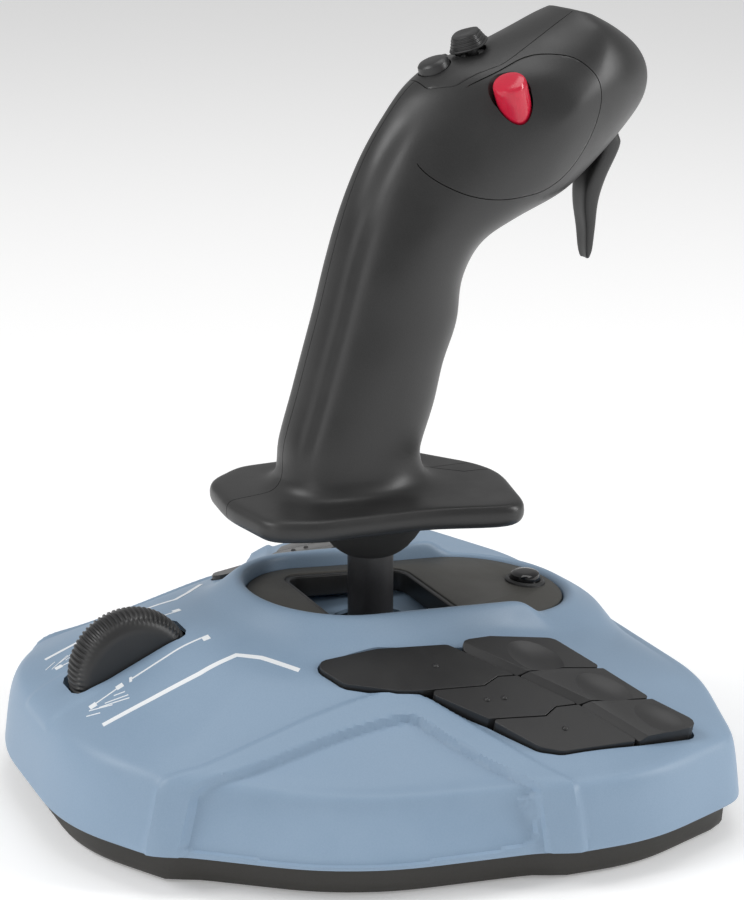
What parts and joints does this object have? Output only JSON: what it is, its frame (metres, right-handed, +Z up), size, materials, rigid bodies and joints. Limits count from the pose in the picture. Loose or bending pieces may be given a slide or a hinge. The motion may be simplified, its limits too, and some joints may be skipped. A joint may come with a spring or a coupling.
{
  "type": "flight joystick",
  "caption": "Desktop flight joystick with a weighted blue base, black twisting grip, trigger, hat switch, thumb buttons, base buttons and a thumb-wheel throttle.",
  "frame": {"origin": "under the middle of the object's bounding box, on the surface it stands on", "axes": "+Z up, +Y away from the user (the way the head leans), +X to the user's right"},
  "size_m": [0.2114, 0.1957, 0.218],
  "materials": {
    "blue_shell": "satin moulded ABS with a fine grain, mid blue",
    "dark_tray": "matt dark warm grey moulding",
    "grey_plate": "matt warm grey flat plate",
    "black_grip": "satin fine-grained black moulding",
    "black_button": "satin black moulding",
    "red_button": "glossy red moulding",
    "lamp": "glossy smoked black",
    "steel": "plain zinc-plated or drawn steel",
    "rubber": "matt black rubber",
    "board": "green solder-masked circuit board",
    "nylon": "unpainted dark nylon mechanism parts"
  },
  "bodies": {
    "base": {"base_shell": "blue_shell", "base_tray": "dark_tray", "button_board_left": "board", "button_board_right": "board", "button_pad_left": "rubber", "button_pad_right": "rubber", "cable_gland": "rubber", "collar_plate": "grey_plate", "foot_front_left": "rubber", "foot_front_right": "rubber", "foot_rear_left": "rubber", "foot_rear_right": "rubber", "gimbal_frame": "nylon", "main_board": "board", "screw_front_left": "steel", "screw_front_right": "steel", "screw_rear_left": "steel", "screw_rear_right": "steel", "status_lamp": "lamp", "throttle_bracket": "nylon", "throttle_potentiometer": "dark_tray", "weight_plate": "steel", "well_floor": "blue_shell"},
    "yoke": {"gimbal_yoke": "nylon"},
    "stick": {"gimbal_block": "nylon", "shaft_tube": "black_grip", "centering_spring": "steel", "spring_cup": "nylon", "sensor_magnet": "steel"},
    "grip": {"grip_shell_left": "black_grip", "grip_shell_right": "black_grip", "neck_boot": "black_grip", "twist_ring": "nylon", "side_module_left": "black_grip", "side_module_right": "black_grip", "top_panel": "black_grip", "head_board": "board", "hat_switch": "nylon", "trigger_pin": "steel", "trigger_spring": "steel"},
    "trigger": {"trigger": "black_button"},
    "red_button": {"red_button": "red_button"},
    "left_button": {"left_button": "black_button"},
    "centre_button": {"centre_button": "black_button"},
    "hat_rocker": {"hat_rocker": "nylon"},
    "hat": {"hat_cap": "black_button"},
    "throttle": {"throttle_wheel": "black_button", "throttle_axle": "steel"},
    "right_near_front": {"right_near_front_button": "black_button"},
    "right_near_middle": {"right_near_middle_button": "black_button"},
    "right_near_rear": {"right_near_rear_button": "black_button"},
    "right_far_front": {"right_far_front_button": "black_button"},
    "right_far_middle": {"right_far_middle_button": "black_button"},
    "right_far_rear": {"right_far_rear_button": "black_button"},
    "left_near_front": {"left_near_front_button": "black_button"},
    "left_near_middle": {"left_near_middle_button": "black_button"},
    "left_near_rear": {"left_near_rear_button": "black_button"},
    "left_far_front": {"left_far_front_button": "black_button"},
    "left_far_middle": {"left_far_middle_button": "black_button"},
    "left_far_rear": {"left_far_rear_button": "black_button"}
  },
  "joints": [
    {"name": "stick_pitch", "type": "hinge", "parent": "base", "child": "yoke", "pos_m": [0, 0.00985, 0.029], "axis": [1, 0, 0], "range_deg": [-18, 18], "stiffness_Nm_per_rad": 3},
    {"name": "stick_roll", "type": "hinge", "parent": "yoke", "child": "stick", "pos_m": [0, 0.00985, 0.029], "axis": [0, 1, 0], "range_deg": [-18, 18], "stiffness_Nm_per_rad": 3},
    {"name": "grip_twist", "type": "hinge", "parent": "stick", "child": "grip", "pos_m": [0, 0.00985, 0.029], "axis": [0, 0, 1], "range_deg": [-16, 16], "stiffness_Nm_per_rad": 0.4},
    {"name": "trigger_pull", "type": "hinge", "parent": "grip", "child": "trigger", "pos_m": [0, 0.08085, 0.1865], "axis": [-1, 0, 0], "range_deg": [0, 9], "stiffness_Nm_per_rad": 0.2, "springref_deg": -5.73},
    {"name": "red_press", "type": "slide", "parent": "grip", "child": "red_button", "axis": [-0.2899, 0.4099, -0.8648], "range_m": [0, 0.0016], "stiffness_N_per_m": 350},
    {"name": "left_press", "type": "slide", "parent": "grip", "child": "left_button", "axis": [0.2899, 0.4099, -0.8648], "range_m": [0, 0.0016], "stiffness_N_per_m": 350},
    {"name": "centre_press", "type": "slide", "parent": "grip", "child": "centre_button", "axis": [0, 0.36, -0.933], "range_m": [0, 0.0016], "stiffness_N_per_m": 350},
    {"name": "hat_pitch", "type": "hinge", "parent": "grip", "child": "hat_rocker", "pos_m": [0, 0.04207, 0.20493], "axis": [1, 0, 0], "range_deg": [-7, 7], "stiffness_Nm_per_rad": 0.03},
    {"name": "hat_roll", "type": "hinge", "parent": "hat_rocker", "child": "hat", "pos_m": [0, 0.04207, 0.20493], "axis": [0, 0.933, 0.36], "range_deg": [-7, 7], "stiffness_Nm_per_rad": 0.03},
    {"name": "throttle_turn", "type": "hinge", "parent": "base", "child": "throttle", "pos_m": [0, -0.06625, 0.0394], "axis": [1, 0, 0], "range_deg": [-30, 30]},
    {"name": "right_near_front_press", "type": "slide", "parent": "base", "child": "right_near_front", "axis": [-0.296, 0.0286, -0.9548], "range_m": [0, 0.0012], "stiffness_N_per_m": 400},
    {"name": "right_near_middle_press", "type": "slide", "parent": "base", "child": "right_near_middle", "axis": [-0.296, 0.0286, -0.9548], "range_m": [0, 0.0012], "stiffness_N_per_m": 400},
    {"name": "right_near_rear_press", "type": "slide", "parent": "base", "child": "right_near_rear", "axis": [-0.296, 0.0286, -0.9548], "range_m": [0, 0.0012], "stiffness_N_per_m": 400},
    {"name": "right_far_front_press", "type": "slide", "parent": "base", "child": "right_far_front", "axis": [-0.296, 0.0286, -0.9548], "range_m": [0, 0.0012], "stiffness_N_per_m": 400},
    {"name": "right_far_middle_press", "type": "slide", "parent": "base", "child": "right_far_middle", "axis": [-0.296, 0.0286, -0.9548], "range_m": [0, 0.0012], "stiffness_N_per_m": 400},
    {"name": "right_far_rear_press", "type": "slide", "parent": "base", "child": "right_far_rear", "axis": [-0.296, 0.0286, -0.9548], "range_m": [0, 0.0012], "stiffness_N_per_m": 400},
    {"name": "left_near_front_press", "type": "slide", "parent": "base", "child": "left_near_front", "axis": [0.296, 0.0286, -0.9548], "range_m": [0, 0.0012], "stiffness_N_per_m": 400},
    {"name": "left_near_middle_press", "type": "slide", "parent": "base", "child": "left_near_middle", "axis": [0.296, 0.0286, -0.9548], "range_m": [0, 0.0012], "stiffness_N_per_m": 400},
    {"name": "left_near_rear_press", "type": "slide", "parent": "base", "child": "left_near_rear", "axis": [0.296, 0.0286, -0.9548], "range_m": [0, 0.0012], "stiffness_N_per_m": 400},
    {"name": "left_far_front_press", "type": "slide", "parent": "base", "child": "left_far_front", "axis": [0.296, 0.0286, -0.9548], "range_m": [0, 0.0012], "stiffness_N_per_m": 400},
    {"name": "left_far_middle_press", "type": "slide", "parent": "base", "child": "left_far_middle", "axis": [0.296, 0.0286, -0.9548], "range_m": [0, 0.0012], "stiffness_N_per_m": 400},
    {"name": "left_far_rear_press", "type": "slide", "parent": "base", "child": "left_far_rear", "axis": [0.296, 0.0286, -0.9548], "range_m": [0, 0.0012], "stiffness_N_per_m": 400}
  ]
}
